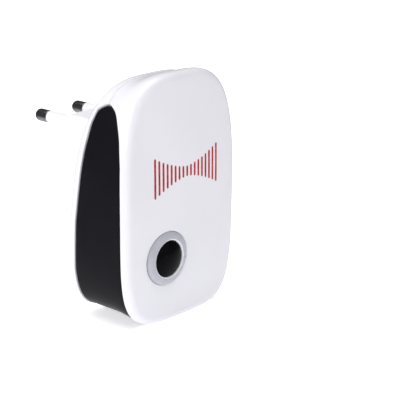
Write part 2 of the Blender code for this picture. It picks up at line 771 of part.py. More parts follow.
def electronics():
    board_box("film_capacitor", (7.5 * MM, 51 * MM), (18 * MM, 11 * MM, 8 * MM), (0.55, 0.32, 0.03))
    board_can("smoothing_capacitor", (-9 * MM, 49 * MM), 4.0 * MM, 11 * MM, (0.02, 0.03, 0.08))
    board_can("step_up_coil", (7 * MM, 36 * MM), 4.6 * MM, 7 * MM, (0.05, 0.05, 0.05))
    board_box("rectifier_block", (-10 * MM, 38 * MM), (6 * MM, 2.4 * MM, 5 * MM), (0.02, 0.02, 0.02))
    board_box("driver_chip", (-2 * MM, 24 * MM), (5 * MM, 1.6 * MM, 6 * MM), (0.02, 0.02, 0.02))
    board_box("driver_transistor", (9 * MM, 25 * MM), (4.6 * MM, 5 * MM, 3.8 * MM), (0.02, 0.02, 0.02))
    lying_part("fuse_resistor", (5 * MM, 63 * MM), 1.7 * MM, 9 * MM, (0.12, 0.3, 0.42))
    lying_part("bleed_resistor", (-9 * MM, 30.5 * MM), 1.2 * MM, 6.5 * MM, (0.45, 0.36, 0.22))


def piezo():
    """The transducer behind the front face, with a lead from each of its discs to the board."""
    x, z = 0.0, 56 * MM
    face = 2.8 * MM
    brass = [(0, -face), (13.5 * MM, -face), (13.5 * MM, -face - 0.4 * MM), (0, -face - 0.4 * MM)]
    turned("piezo_brass_disc", brass, (0.75, 0.55, 0.2), (x, 0, z), 0.25, 1.0, 32)
    back = face + 0.7 * MM
    ceramic = [(0, -back), (9.5 * MM, -back), (9.5 * MM, -back - 0.4 * MM), (0, -back - 0.4 * MM)]
    turned("piezo_ceramic_disc", ceramic, (0.8, 0.8, 0.78), (x, 0, z), 0.5, sides=32)
    board = BOARD_FRONT - GAP - 0.1 * MM
    lead_y = back + 1.3 * MM
    red = [
        (3 * MM, lead_y, 52 * MM),
        (5 * MM, 8 * MM, 48 * MM),
        (7 * MM, 9.5 * MM, 42 * MM),
        (7 * MM, board, 40 * MM),
    ]
    wire("piezo_lead_red", red, 0.5 * MM, (0.5, 0.02, 0.02))
    start_y = face + 1.5 * MM
    black = [
        (-11.5 * MM, start_y, 54 * MM),
        (-10 * MM, 7 * MM, 49 * MM),
        (-5 * MM, 9.5 * MM, 42 * MM),
        (-4 * MM, board, 40 * MM),
    ]
    wire("piezo_lead_black", black, 0.5 * MM, (0.02, 0.02, 0.02))


def mains_leads():
    for side, sign, colour in (("left", -1, (0.2, 0.08, 0.03)), ("right", 1, (0.05, 0.1, 0.4))):
        x = sign * PIN_SPACING / 2
        start = (x, PIN_TAIL - 1.0 * MM, PIN_HEIGHT)
        bend = (x * 1.1, PIN_TAIL - 1.6 * MM, PIN_HEIGHT - 3 * MM)
        end = (x * 1.2, BOARD_BACK + GAP + 0.5 * MM, PIN_HEIGHT - 7.5 * MM)
        wire(f"mains_lead_{side}", [start, bend, end], 0.7 * MM, colour)


def screw(name, x, y, z, head_radius, shank_radius, head_height, shank_length):
    """A pan-head screw driven in from behind, its head's underside at y. The slot is cut in its head."""
    profile = [
        (0, shank_length),
        (shank_radius * 0.5, shank_length),
        (shank_radius, shank_length - shank_radius),
        (shank_radius, 0),
        (head_radius, 0),
        (head_radius, -head_height * 0.6),
        (head_radius * 0.8, -head_height),
        (0, -head_height),
    ]
    part = turned(name, profile, (0.55, 0.55, 0.56), (x, y, z), 0.3, 1.0, SMALL_SIDES)
    low = (-head_radius * 1.2, y + head_height * 0.5, z - 0.3 * MM)
    high = (head_radius * 1.2, y + head_height * 2, z + 0.3 * MM)
    slot = box_mesh(f"{name}_slot", low, high)
    cutter = make_helper(add_object(f"{name}_slot", slot, (1, 1, 1), location=(x, 0, 0)))
    boolean(part, "slot", "DIFFERENCE", cutter)


def screws():
    for name, (x, z, meet) in HOUSING_SCREWS.items():
        floor = meet + SCREW_FLOOR + GAP
        length = SCREW_FLOOR + SCREW_GRIP
        screw(name, x, floor, z, SCREW_HEAD_RADIUS, SCREW_SHANK_RADIUS, 1.8 * MM, length)
    for name, (x, z) in zip(("board_screw_upper", "board_screw_lower"), BOARD_SCREWS):
        screw(name, x, BOARD_BACK + GAP, z, 2.1 * MM, 0.9 * MM, 1.4 * MM, 6 * MM)


front_cover()
back_cover()
side_band()
plug_base()
pins()
bezel_ring()
button()
ring_lamps()
circuit_board()
electronics()
piezo()
mains_leads()
screws()
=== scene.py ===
import math

import bmesh
import bpy
from mathutils import Euler, Matrix, Vector


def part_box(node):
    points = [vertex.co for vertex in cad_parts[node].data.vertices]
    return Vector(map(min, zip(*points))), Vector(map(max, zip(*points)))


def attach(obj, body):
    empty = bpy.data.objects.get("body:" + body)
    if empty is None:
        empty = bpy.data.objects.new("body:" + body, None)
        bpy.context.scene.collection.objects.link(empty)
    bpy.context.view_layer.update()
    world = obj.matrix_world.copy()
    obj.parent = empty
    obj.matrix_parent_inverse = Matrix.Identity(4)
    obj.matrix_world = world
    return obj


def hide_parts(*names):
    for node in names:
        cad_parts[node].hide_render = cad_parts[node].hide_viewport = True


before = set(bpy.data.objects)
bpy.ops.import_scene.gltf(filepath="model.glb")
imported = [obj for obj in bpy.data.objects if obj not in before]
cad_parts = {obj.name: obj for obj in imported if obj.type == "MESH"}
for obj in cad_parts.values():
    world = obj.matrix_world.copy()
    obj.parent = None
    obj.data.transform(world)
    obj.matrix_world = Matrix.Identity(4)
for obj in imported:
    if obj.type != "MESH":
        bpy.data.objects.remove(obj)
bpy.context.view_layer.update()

print("frame loaded:", len(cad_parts), "nodes")

mm = 0.001  # lengths below are millimetres, meshes are made in metres


def boxOf(node):
    low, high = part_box(node)
    return low / mm, high / mm


def middleOf(node):
    low, high = boxOf(node)
    return (low + high) / 2


coverLow, coverHigh = boxOf("front_cover")
backHigh = boxOf("back_cover")[1]
halfWidth = coverHigh.x
height = coverHigh.z - coverLow.z
depth = backHigh.y - coverLow.y
buttonCentre = middleOf("button_cap")
pinCentre = middleOf("pin_right")
socketFace = boxOf("plug_base")[1].y


def housed(x, y, z):
    # from the body's own measures (from its front, middle and lowest point) to the shared frame
    return x, y + coverLow.y, z + coverLow.z


def lerp(start, end, share):
    return start + (end - start) * share


def spread(start, end, steps):
    return [lerp(start, end, i / steps) for i in range(steps + 1)]


def eased(share):
    share = min(1, max(0, share))
    return share * share * (3 - 2 * share)


def bridge(mesh, before, after):
    # quads between two closed rows of vertices
    count = len(before)
    for i in range(count):
        j = (i + 1) % count
        mesh.faces.new((before[i], before[j], after[j], after[i]))


def fan(mesh, centre, row):
    # triangles from one vertex to a closed row
    for i in range(len(row)):
        mesh.faces.new((centre, row[i], row[(i + 1) % len(row)]))


def ringSkin(loops, hubs=None):
    # a skin over loops of points, closed by a fan from each hub or by one flat face at each end
    mesh = bmesh.new()
    rows = [[mesh.verts.new(point) for point in loop] for loop in loops]
    for before, after in zip(rows, rows[1:]):
        bridge(mesh, before, after)
    if hubs:
        fan(mesh, mesh.verts.new(hubs[0]), rows[0])
        fan(mesh, mesh.verts.new(hubs[1]), rows[-1])
    else:
        mesh.faces.new(rows[0])
        mesh.faces.new(rows[-1])
    return mesh


def softened(profile, radius, closed=False, steps=3):
    # a profile with each corner drawn as a short curve
    count = len(profile)
    points = []
    for i, corner in enumerate(profile):
        if not closed and i in (0, count - 1):
            points.append(corner)
            continue
        here = Vector(corner)
        before = Vector(profile[i - 1]) - here
        after = Vector(profile[(i + 1) % count]) - here
        if before.normalized().dot(after.normalized()) < -0.985:
            points.append(corner)
            continue
        near = here + before.normalized() * min(radius, before.length * 0.45)
        far = here + after.normalized() * min(radius, after.length * 0.45)
        for step in range(steps + 1):
            t = step / steps
            point = near * (1 - t) ** 2 + here * 2 * t * (1 - t) + far * t**2
            points.append(tuple(point))
    return points


def lathe(profile, centre, sides, closed=False, mesh=None):
    # turns (radius, depth) points round a line through the centre, along the body's depth
    mesh = mesh or bmesh.new()
    rows = []
    for radius, along in profile:
        if radius < 1e-6:
            rows.append([mesh.verts.new(aimed(0, 0, along, centre))])
            continue
        row = []
        for i in range(sides):
            turn = 2 * math.pi * i / sides
            a, b = radius * math.cos(turn), radius * math.sin(turn)
            row.append(mesh.verts.new(aimed(a, b, along, centre)))
        rows.append(row)
    pairs = list(zip(rows, rows[1:]))
    if closed:
        pairs.append((rows[-1], rows[0]))
    for before, after in pairs:
        if len(before) == 1:
            fan(mesh, before[0], after)
        elif len(after) == 1:
            fan(mesh, after[0], before)
        else:
            bridge(mesh, before, after)
    return mesh


def aimed(a, b, along, centre):
    return Vector(centre) + Vector((a, along, b))


def roundedSlab(low, high, radius, rim=0.3, steps=5):
    # a box with round corners in its x-z outline and softened front and back edges
    part = rim * 0.3
    stations = ((low[1], rim), (low[1] + part, part), (low[1] + rim, 0),
                (high[1] - rim, 0), (high[1] - part, part), (high[1], rim))
    loops = []
    for y, inset in stations:
        edges = (low[0] + inset, high[0] - inset, low[2] + inset, high[2] - inset)
        loops.append([(x, y, z) for x, z in cornered(*edges, radius - inset, steps)])
    return ringSkin(loops)


def cornered(left, right, bottom, top, radius, steps):
    # the outline of a rectangle with round corners
    points = []
    for cx, cz, start in ((right - radius, top - radius, 0), (left + radius, top - radius, 90),
                          (left + radius, bottom + radius, 180), (right - radius, bottom + radius, 270)):
        for step in range(steps + 1):
            turn = math.radians(start + 90 * step / steps)
            points.append((cx + radius * math.cos(turn), cz + radius * math.sin(turn)))
    return points


def tempObject(mesh, name):
    bmesh.ops.recalc_face_normals(mesh, faces=mesh.faces)
    data = bpy.data.meshes.new(name)
    mesh.to_mesh(data)
    mesh.free()
    helper = bpy.data.objects.new(name, data)
    bpy.context.scene.collection.objects.link(helper)
    return helper


def cut(mesh, tools):
    # the mesh after exact unions and differences with the tools' meshes
    base = tempObject(mesh, "blank")
    helpers = [base]
    for operation, toolMesh in tools:
        tool = tempObject(toolMesh, "tool")
        helpers.append(tool)
        modifier = base.modifiers.new("cut", "BOOLEAN")
        modifier.operation = operation
        modifier.solver = "EXACT"
        modifier.object = tool
    graph = bpy.context.evaluated_depsgraph_get()
    made = bpy.data.meshes.new_from_object(base.evaluated_get(graph))
    result = bmesh.new()
    result.from_mesh(made)
    for helper in helpers:
        bpy.data.objects.remove(helper)
    return result


def makePiece(name, mesh, material, body, stands=(), sharp=32):
    bmesh.ops.recalc_face_normals(mesh, faces=mesh.faces)
    bmesh.ops.scale(mesh, vec=(mm, mm, mm), verts=mesh.verts)
    data = bpy.data.meshes.new(name)
    mesh.to_mesh(data)
    mesh.free()
    data.shade_smooth()
    data.set_sharp_from_angle(angle=math.radians(sharp))
    data.materials.append(material)
    piece = bpy.data.objects.new(name, data)
    bpy.context.scene.collection.objects.link(piece)
    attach(piece, body)
    if stands:
        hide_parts(*stands)
    return piece


def feed(tree, socket, value):
    # another node's output is linked, and a plain value is set
    if isinstance(value, bpy.types.NodeSocket):
        tree.links.new(value, socket)
    else:
        socket.default_value = value


def addNode(tree, kind, inputs=None, **settings):
    node = tree.nodes.new("ShaderNode" + kind)
    for key, value in settings.items():
        setattr(node, key, value)
    for key, value in (inputs or {}).items():
        feed(tree, node.inputs[key], value)
    return node


def newGroup(name, inputs, outputs):
    tree = bpy.data.node_groups.new(name, "ShaderNodeTree")
    for label, value in inputs.items():
        kind = "NodeSocketColor" if isinstance(value, tuple) else "NodeSocketFloat"
        socket = tree.interface.new_socket(name=label, in_out="INPUT", socket_type=kind)
        socket.default_value = value
    for label in outputs:
        kind = "NodeSocketColor" if label == "Color" else "NodeSocketFloat"
        tree.interface.new_socket(name=label, in_out="OUTPUT", socket_type=kind)
    entry = tree.nodes.new("NodeGroupInput")
    leave = tree.nodes.new("NodeGroupOutput")
    return tree, entry.outputs, leave.inputs


def useGroup(tree, group, inputs):
    node = tree.nodes.new("ShaderNodeGroup")
    node.node_tree = group
    for key, value in inputs.items():
        feed(tree, node.inputs[key], value)
    return node.outputs


def remap(tree, value, low, high, outLow, outHigh):
    settings = {"Value": value, "From Min": low, "From Max": high, "To Min": outLow, "To Max": outHigh}
    return addNode(tree, "MapRange", settings).outputs["Result"]


def times(tree, a, b):
    return addNode(tree, "Math", {0: a, 1: b}, operation="MULTIPLY").outputs[0]


def blendColour(tree, share, first, second):
    # sockets 0, 6, 7 and output 2 are the factor and the two colours and the result of a colour mix
    return addNode(tree, "Mix", {0: share, 6: first, 7: second}, data_type="RGBA").outputs[2]


def objectPlace(tree):
    return addNode(tree, "TexCoord").outputs["Object"]


def noiseIn(tree, scale, detail):
    # noise over the piece's own coordinates
    settings = {"Vector": objectPlace(tree), "Scale": scale, "Detail": detail}
    return addNode(tree, "TexNoise", settings).outputs["Fac"]


def makeMottle():
    # slow, faint colour drift, as in a moulded part
    tree, entry, leave = newGroup(
        "slowMottle", {"Tint": (0.8, 0.8, 0.8, 1), "Shade": (0.7, 0.7, 0.7, 1), "Scale": 60.0}, ["Color"])
    amount = remap(tree, noiseIn(tree, entry["Scale"], 3.0), 0.35, 0.65, 0.0, 1.0)
    tree.links.new(blendColour(tree, amount, entry["Tint"], entry["Shade"]), leave["Color"])
    return tree


def makeGrain():
    # fine mould grain with a slower waviness under it
    tree, entry, leave = newGroup(
        "mouldGrain", {"Grain": 2600.0, "Wave": 130.0, "Grain Depth": 0.5, "Wave Depth": 0.5}, ["Height"])
    fine = noiseIn(tree, entry["Grain"], 2.0)
    slow = noiseIn(tree, entry["Wave"], 1.0)
    raised = {0: times(tree, fine, entry["Grain Depth"]), 1: times(tree, slow, entry["Wave Depth"])}
    tree.links.new(addNode(tree, "Math", raised, operation="ADD").outputs[0], leave["Height"])
    return tree


def makeRub():
    # worn places along outer edges, broken up by noise
    tree, entry, leave = newGroup("edgeRub", {"Start": 0.52, "End": 0.6, "Breakup": 900.0}, ["Mask"])
    sharpness = addNode(tree, "NewGeometry").outputs["Pointiness"]
    edge = remap(tree, sharpness, entry["Start"], entry["End"], 0.0, 1.0)
    broken = remap(tree, noiseIn(tree, entry["Breakup"], 2.0), 0.4, 0.62, 0.0, 1.0)
    tree.links.new(times(tree, edge, broken), leave["Mask"])
    return tree


def makeDust():
    # a thin film on faces that look up
    tree, entry, leave = newGroup("settledDust", {"Amount": 0.1, "Scale": 700.0}, ["Mask"])
    normal = addNode(tree, "NewGeometry").outputs["Normal"]
    facing = addNode(tree, "SeparateXYZ", {"Vector": normal}).outputs["Z"]
    upward = remap(tree, facing, 0.3, 1.0, 0.0, 1.0)
    specks = remap(tree, noiseIn(tree, entry["Scale"], 4.0), 0.42, 0.75, 0.0, 1.0)
    tree.links.new(times(tree, times(tree, upward, specks), entry["Amount"]), leave["Mask"])
    return tree


def makeSmears():
    # hand smears that change the gloss
    tree, entry, leave = newGroup("handSmears", {"Scale": 90.0, "Low": 0.2, "High": 0.3}, ["Roughness"])
    slant = {"Vector": objectPlace(tree), "Rotation": (0.3, 0.5, 0.2), "Scale": (1, 1, 2.6)}
    slanted = addNode(tree, "Mapping", slant).outputs["Vector"]
    settings = {"Vector": slanted, "Scale": entry["Scale"], "Detail": 3.0, "Distortion": 0.2}
    noise = addNode(tree, "TexNoise", settings).outputs["Fac"]
    tree.links.new(remap(tree, noise, 0.35, 0.7, entry["Low"], entry["High"]), leave["Roughness"])
    return tree


def makeDrawn():
    # fine drawn lines along one axis, as on a turned or plated pin
    tree, entry, leave = newGroup(
        "drawnLines", {"Across": 6000.0, "Along": 60.0, "Depth": 0.5}, ["Height", "Streak"])
    place = addNode(tree, "SeparateXYZ", {"Vector": objectPlace(tree)}).outputs
    stretched = addNode(tree, "CombineXYZ", {
        "X": times(tree, place["X"], entry["Across"]),
        "Y": times(tree, place["Y"], entry["Along"]),
        "Z": times(tree, place["Z"], entry["Across"]),
    }).outputs[0]
    settings = {"Vector": stretched, "Scale": 1.0, "Detail": 3.0}
    noise = addNode(tree, "TexNoise", settings).outputs["Fac"]
    tree.links.new(times(tree, noise, entry["Depth"]), leave["Height"])
    tree.links.new(noise, leave["Streak"])
    return tree


slowMottle = makeMottle()
mouldGrain = makeGrain()
edgeRub = makeRub()
settledDust = makeDust()
handSmears = makeSmears()
drawnLines = makeDrawn()
print("shader groups built")


def newMaterial(name):
    material = bpy.data.materials.new(name)
    material.use_nodes = True
    return material, material.node_tree, material.node_tree.nodes["Principled BSDF"]


def bump(tree, shader, height, distance):
    node = addNode(tree, "Bump", {"Height": height, "Distance": distance, "Strength": 1.0})
    tree.links.new(node.outputs["Normal"], shader.inputs["Normal"])


plastic = {"rubBreakup": 900.0, "dustScale": 700.0, "dustColour": (0.55, 0.53, 0.5, 1), "waveScale": 130.0}
metal = {"rubStart": 0.53, "rubEnd": 0.62, "rubBreakup": 1200.0, "smearScale": 160.0}


def mouldedPlastic(name, look):
    # colour drift, rubbed edges, a little dust, smears in the gloss and mould grain
    material, tree, shader = newMaterial(name)
    tinted = useGroup(tree, slowMottle, {
        "Tint": (*look["tint"], 1), "Shade": (*look["shade"], 1), "Scale": look["driftScale"]})
    worn = useGroup(tree, edgeRub, {
        "Start": look["rubStart"], "End": look["rubEnd"], "Breakup": plastic["rubBreakup"]})
    rubbed = blendColour(tree, worn["Mask"], tinted["Color"], (*look["rubbed"], 1))
    dust = useGroup(tree, settledDust, {"Amount": look["dust"], "Scale": plastic["dustScale"]})
    colour = blendColour(tree, dust["Mask"], rubbed, plastic["dustColour"])
    tree.links.new(colour, shader.inputs["Base Color"])
    smears = useGroup(tree, handSmears, {
        "Scale": look["smearScale"], "Low": look["gloss"][0], "High": look["gloss"][1]})
    tree.links.new(smears["Roughness"], shader.inputs["Roughness"])
    grain = useGroup(tree, mouldGrain, {
        "Grain": look["grain"], "Wave": plastic["waveScale"],
        "Grain Depth": look["grainDepth"], "Wave Depth": look["waveDepth"]})
    bump(tree, shader, grain["Height"], look["relief"] * mm)
    shader.inputs["Specular IOR Level"].default_value = look["specular"]
    return material


shellLook = {
    "tint": (0.79, 0.78, 0.822), "shade": (0.765, 0.755, 0.795), "driftScale": 45.0,
    "rubStart": 0.57, "rubEnd": 0.7, "rubbed": (0.88, 0.88, 0.9), "dust": 0.04,
    "smearScale": 70.0, "gloss": (0.24, 0.27), "grain": 2200.0, "grainDepth": 0.25, "waveDepth": 0.7,
    "relief": 0.012, "specular": 0.5,
}
frameLook = {
    "tint": (0.0062, 0.006, 0.0088), "shade": (0.0048, 0.0046, 0.007), "driftScale": 60.0,
    "rubStart": 0.57, "rubEnd": 0.7, "rubbed": (0.03, 0.03, 0.036), "dust": 0.02,
    "smearScale": 80.0, "gloss": (0.34, 0.44), "grain": 3400.0, "grainDepth": 0.8, "waveDepth": 0.5,
    "relief": 0.014, "specular": 0.11,
}
plugLook = {
    "tint": (0.86, 0.86, 0.885), "shade": (0.82, 0.82, 0.85), "driftScale": 90.0,
    "rubStart": 0.57, "rubEnd": 0.7, "rubbed": (0.9, 0.9, 0.92), "dust": 0.04,
    "smearScale": 90.0, "gloss": (0.3, 0.4), "grain": 2600.0, "grainDepth": 0.6, "waveDepth": 0.4,
    "relief": 0.015, "specular": 0.45,
}
sleeveLook = dict(plugLook, tint=(0.84, 0.84, 0.87), shade=(0.8, 0.8, 0.835), gloss=(0.38, 0.48))
ringLook = {
    "tint": (0.47, 0.47, 0.52), "shade": (0.43, 0.43, 0.48), "driftScale": 150.0,
    "rubStart": 0.57, "rubEnd": 0.68, "rubbed": (0.6, 0.6, 0.63), "dust": 0.04,
    "smearScale": 120.0, "gloss": (0.26, 0.36), "grain": 3600.0, "grainDepth": 0.6, "waveDepth": 0.3,
    "relief": 0.008, "specular": 0.5,
}
domeLook = {
    "tint": (0.0035, 0.0035, 0.0045), "shade": (0.0025, 0.0025, 0.003), "driftScale": 200.0,
    "rubStart": 0.55, "rubEnd": 0.65, "rubbed": (0.02, 0.02, 0.022), "dust": 0.02,
    "smearScale": 160.0, "gloss": (0.05, 0.1), "grain": 3000.0, "grainDepth": 0.05, "waveDepth": 0.4,
    "relief": 0.004, "specular": 0.07,
}
inkLook = {
    "tint": (0.43, 0.005, 0.017), "shade": (0.36, 0.004, 0.014), "driftScale": 220.0,
    "rubStart": 0.55, "rubEnd": 0.65, "rubbed": (0.6, 0.05, 0.07), "dust": 0.02,
    "smearScale": 200.0, "gloss": (0.3, 0.42), "grain": 5000.0, "grainDepth": 0.8, "waveDepth": 0.2,
    "relief": 0.006, "specular": 0.4,
}


def platedMetal(name, look):
    # drawn lines, slow tarnish and smears over plated metal
    material, tree, shader = newMaterial(name)
    lines = useGroup(tree, drawnLines, {"Across": look["across"], "Along": look["along"], "Depth": 1.0})
    tarnish = useGroup(tree, slowMottle, {
        "Tint": (*look["tint"], 1), "Shade": (*look["shade"], 1), "Scale": look["driftScale"]})
    bright = (*look["bright"], 1)
    share = remap(tree, lines["Streak"], 0.45, 0.7, 0.0, look["streak"])
    streaked = blendColour(tree, share, tarnish["Color"], bright)
    worn = useGroup(tree, edgeRub, {
        "Start": metal["rubStart"], "End": metal["rubEnd"], "Breakup": metal["rubBreakup"]})
    tree.links.new(blendColour(tree, worn["Mask"], streaked, bright), shader.inputs["Base Color"])
    smears = useGroup(tree, handSmears, {
        "Scale": metal["smearScale"], "Low": look["gloss"][0], "High": look["gloss"][1]})
    tree.links.new(smears["Roughness"], shader.inputs["Roughness"])
    bump(tree, shader, lines["Height"], look["relief"] * mm)
    shader.inputs["Metallic"].default_value = 1.0
    return material


pinLook = {
    "tint": (0.4, 0.39, 0.41), "shade": (0.28, 0.273, 0.287), "bright": (0.8, 0.79, 0.81),
    "streak": 0.7, "driftScale": 240.0, "across": 9000.0, "along": 120.0, "gloss": (0.14, 0.24),
    "relief": 0.004,
}
steelLook = {
    "tint": (0.55, 0.55, 0.56), "shade": (0.44, 0.44, 0.45), "bright": (0.75, 0.75, 0.76),
    "streak": 0.6, "driftScale": 300.0, "across": 5000.0, "along": 5000.0, "gloss": (0.25, 0.38),
    "relief": 0.006,
}
brassLook = {
    "tint": (0.72, 0.5, 0.18), "shade": (0.6, 0.4, 0.14), "bright": (0.86, 0.66, 0.3),
    "streak": 0.5, "driftScale": 120.0, "across": 4000.0, "along": 90.0, "gloss": (0.24, 0.36),
    "relief": 0.005,
}

whiteShell = mouldedPlastic("whiteShell", shellLook)
blackFrame = mouldedPlastic("blackFrame", frameLook)
plugWhite = mouldedPlastic("plugWhite", plugLook)
sleeveWhite = mouldedPlastic("sleeveWhite", sleeveLook)
ringGrey = mouldedPlastic("ringGrey", ringLook)
domeBlack = mouldedPlastic("domeBlack", domeLook)
inkRed = mouldedPlastic("inkRed", inkLook)
pinNickel = platedMetal("pinNickel", pinLook)
screwSteel = platedMetal("screwSteel", steelLook)
discBrass = platedMetal("discBrass", brassLook)
print("outer materials built")


shell = {
    "wall": 1.8, "gap": 0.3, "seamGap": 0.1, "seamWiden": 2.0, "lip": 0.12,
    "topSquareness": 3.2, "bottomSquareness": 4.5,
    "bulgeAcross": 1.5, "bulgeAlong": 1.0,
    "frontRound": 2.9, "backRound": 4.0,
    "slopeStart": 23.0, "slopeDrop": 14.8, "slopePower": 1.83,
    "topFall": 2.5, "bottomRise": 1.34, "fallStart": 4.5, "fallLength": 9.9,
    "minFrontWall": 0.7, "minBackWall": 0.25,
    "points": 300, "roundSteps": 9, "wallSteps": 8, "lipSteps": 3,
    "faceShares": (0.1, 0.25, 0.4, 0.55, 0.7, 0.82, 0.92),
}
band = {
    "top": 84.1, "closing": 46.4, "power": 0.35, "halfDepth": 12.3, "tipRounding": 1.0,
    "lowMiddle": 17.6, "highMiddle": 13.8, "leanStart": 15.0, "leanLength": 64.0, "leanPower": 0.69,
    "tipStart": 70.0, "tipLength": 14.0, "tipLean": 1.8,
    "inset": 0.35, "endHalfDepth": 0.5, "endClearance": 0.45,
    "edge": 0.3, "edgeShare": 0.3, "edgeSteps": 4, "acrossSteps": 14,
}


def outline(turn, inset=0.0):
    power = 2 / (shell["topSquareness"] if math.sin(turn) > 0 else shell["bottomSquareness"])
    across = math.copysign(abs(math.cos(turn)) ** power, math.cos(turn))
    along = math.copysign(abs(math.sin(turn)) ** power, math.sin(turn))
    return (halfWidth - inset) * across, height / 2 + (height / 2 - inset) * along


def faceDepth(x, z):
    return shell["bulgeAcross"] * (x / halfWidth) ** 2 + shell["bulgeAlong"] * (2 * z / height - 1) ** 2


def backDepth(z):
    rise = max(0, z - shell["slopeStart"]) / (height - shell["slopeStart"])
    return depth - shell["slopeDrop"] * rise ** shell["slopePower"]


def settled(x, y, z):
    # the top falls and the bottom rises a little towards the back
    share = eased((y - shell["fallStart"]) / shell["fallLength"])
    high = max(0, 2 * z / height - 1)
    low = max(0, 1 - 3 * z / height)
    return x, y, z - shell["topFall"] * share * high**3 + shell["bottomRise"] * share * low**2


def shaped(x, y, z):
    return housed(*settled(x, y, z))


def bandMiddle(z):
    rise = min(1, max(0, z - band["leanStart"]) / band["leanLength"])
    tip = eased((z - band["tipStart"]) / band["tipLength"])
    return lerp(band["lowMiddle"], band["highMiddle"], rise ** band["leanPower"]) + band["tipLean"] * tip


def bandHalfDepth(z):
    below = max(0, band["top"] - z)
    closing = min(1, below / band["closing"]) ** band["power"]
    return band["halfDepth"] * closing * (1 - math.exp(-below / band["tipRounding"]))


def quarterShares(steps, sharpness=2.4):
    # shares of one quarter turn, packed towards its ends, where the outline runs straight
    shares = []
    for i in range(steps):
        u = i / steps
        shares.append(u**sharpness / (u**sharpness + (1 - u) ** sharpness))
    return shares


def perimeter(count, apexWeight=2.5, fine=2000):
    # turns evenly spaced along the outline, closer where the band comes to its tips
    shares = quarterShares(fine)
    turns = [(quarter + share - 1) * math.pi / 2 for quarter in range(4) for share in shares]
    turns.append(3 * math.pi / 2)
    lengths = [0.0]
    for before, after in zip(turns, turns[1:]):
        x0, z0 = outline(before)
        x1, z1 = outline(after)
        change = abs(bandHalfDepth(z1) - bandHalfDepth(z0))
        lengths.append(lengths[-1] + math.hypot(x1 - x0, z1 - z0) + apexWeight * change)
    chosen = []
    place = 0
    for i in range(count):
        while lengths[place + 1] < lengths[-1] * i / count:
            place += 1
        chosen.append(turns[place])
    return chosen


turns = perimeter(shell["points"])


def shrunk(point, share):
    x, z = point
    return x * share, height / 2 + (z - height / 2) * share


covers = {
    "front": {"sign": 1, "round": shell["frontRound"], "minWall": shell["minFrontWall"]},
    "back": {"sign": -1, "round": shell["backRound"], "minWall": shell["minBackWall"]},
}


def coverDepth(side, x, z):
    return faceDepth(x, z) if side == "front" else backDepth(z)


def seam(side, turn):
    # the two depths between which a cover's straight wall runs
    sign, radius = covers[side]["sign"], covers[side]["round"]
    z = outline(turn)[1]
    start = coverDepth(side, *outline(turn, radius)) + sign * radius
    half = bandHalfDepth(z)
    gap = lerp(shell["seamGap"], shell["gap"], min(1, half / shell["seamWiden"]))
    bandEdge = bandMiddle(z) - sign * (half + gap / 2)
    nearest = start + sign * covers[side]["minWall"]
    return start, (max(bandEdge, nearest) if side == "front" else min(bandEdge, nearest))


def faceLoop(side, share, inner):
    sign, radius = covers[side]["sign"], covers[side]["round"]
    points = [shrunk(outline(turn, radius), share) for turn in turns]
    return [shaped(x, coverDepth(side, x, z) + sign * inner, z) for x, z in points]


def roundLoop(side, angle, inner):
    sign, radius = covers[side]["sign"], covers[side]["round"]
    loop = []
    for turn in turns:
        surface = coverDepth(side, *outline(turn, radius))
        x, z = outline(turn, radius - (radius - inner) * math.sin(angle))
        sunk = radius - (radius - inner) * math.cos(angle)
        loop.append(shaped(x, surface + sign * sunk, z))
    return loop


def wallLoop(side, share, inset):
    loop = []
    for turn in turns:
        start, end = seam(side, turn)
        x, z = outline(turn, inset)
        loop.append(shaped(x, lerp(start, end - covers[side]["sign"] * shell["lip"], share), z))
    return loop


def lipLoop(side, angle, outer):
    away = shell["lip"] * (1 - math.cos(angle))
    inset = away if outer else shell["wall"] - away
    loop = []
    for turn in turns:
        x, z = outline(turn, inset)
        end = seam(side, turn)[1] - covers[side]["sign"] * shell["lip"] * (1 - math.sin(angle))
        loop.append(shaped(x, end, z))
    return loop


def coverSkin(side):
    # one closed skin: outer face, rounding, wall and lip, then the same inside in reverse
    wall = shell["wall"]
    angles = spread(0, math.pi / 2, shell["roundSteps"])
    lipAngles = spread(0, math.pi / 2, shell["lipSteps"])
    shares = spread(0, 1, shell["wallSteps"])[1:]
    loops = [faceLoop(side, share, 0) for share in shell["faceShares"]]
    loops += [roundLoop(side, angle, 0) for angle in angles]
    loops += [wallLoop(side, share, 0) for share in shares]
    loops += [lipLoop(side, angle, True) for angle in lipAngles[1:]]
    loops += [lipLoop(side, angle, False) for angle in reversed(lipAngles)]
    loops += [wallLoop(side, share, wall) for share in reversed(shares[:-1])]
    loops += [roundLoop(side, angle, wall) for angle in reversed(angles)]
    loops += [faceLoop(side, share, wall) for share in reversed(shell["faceShares"])]
    middle = coverDepth(side, 0, height / 2)
    inside = middle + covers[side]["sign"] * wall
    return ringSkin(loops, (housed(0, middle, height / 2), housed(0, inside, height / 2)))


fixings = {
    "bossRadius": 3.1, "bossBore": 1.5, "postRadius": 3.6, "counterbore": 2.7, "clearance": 1.6,
    "boardPostRadius": 3.1 * 0.8, "boardPostBore": 1.5 * 0.8, "floor": 2.0, "grip": 6.0, "boardGrip": 6.0,
    "meetLow": 18.0, "meetHigh": 13.0, "past": 1.0, "outside": 3.0, "sides": 40,
}
screwPlaces = []
for side in ("lower_left", "lower_right", "upper_left", "upper_right"):
    spot = middleOf("housing_screw_" + side)
    meet = fixings["meetLow"] if "lower" in side else fixings["meetHigh"]
    screwPlaces.append((spot.x, spot.z - coverLow.z, meet))
boardScrews = []
for side in ("upper", "lower"):
    spot = middleOf("board_screw_" + side)
    boardScrews.append((spot.x, spot.z - coverLow.z))
boardFront = boxOf("circuit_board")[0].y - coverLow.y


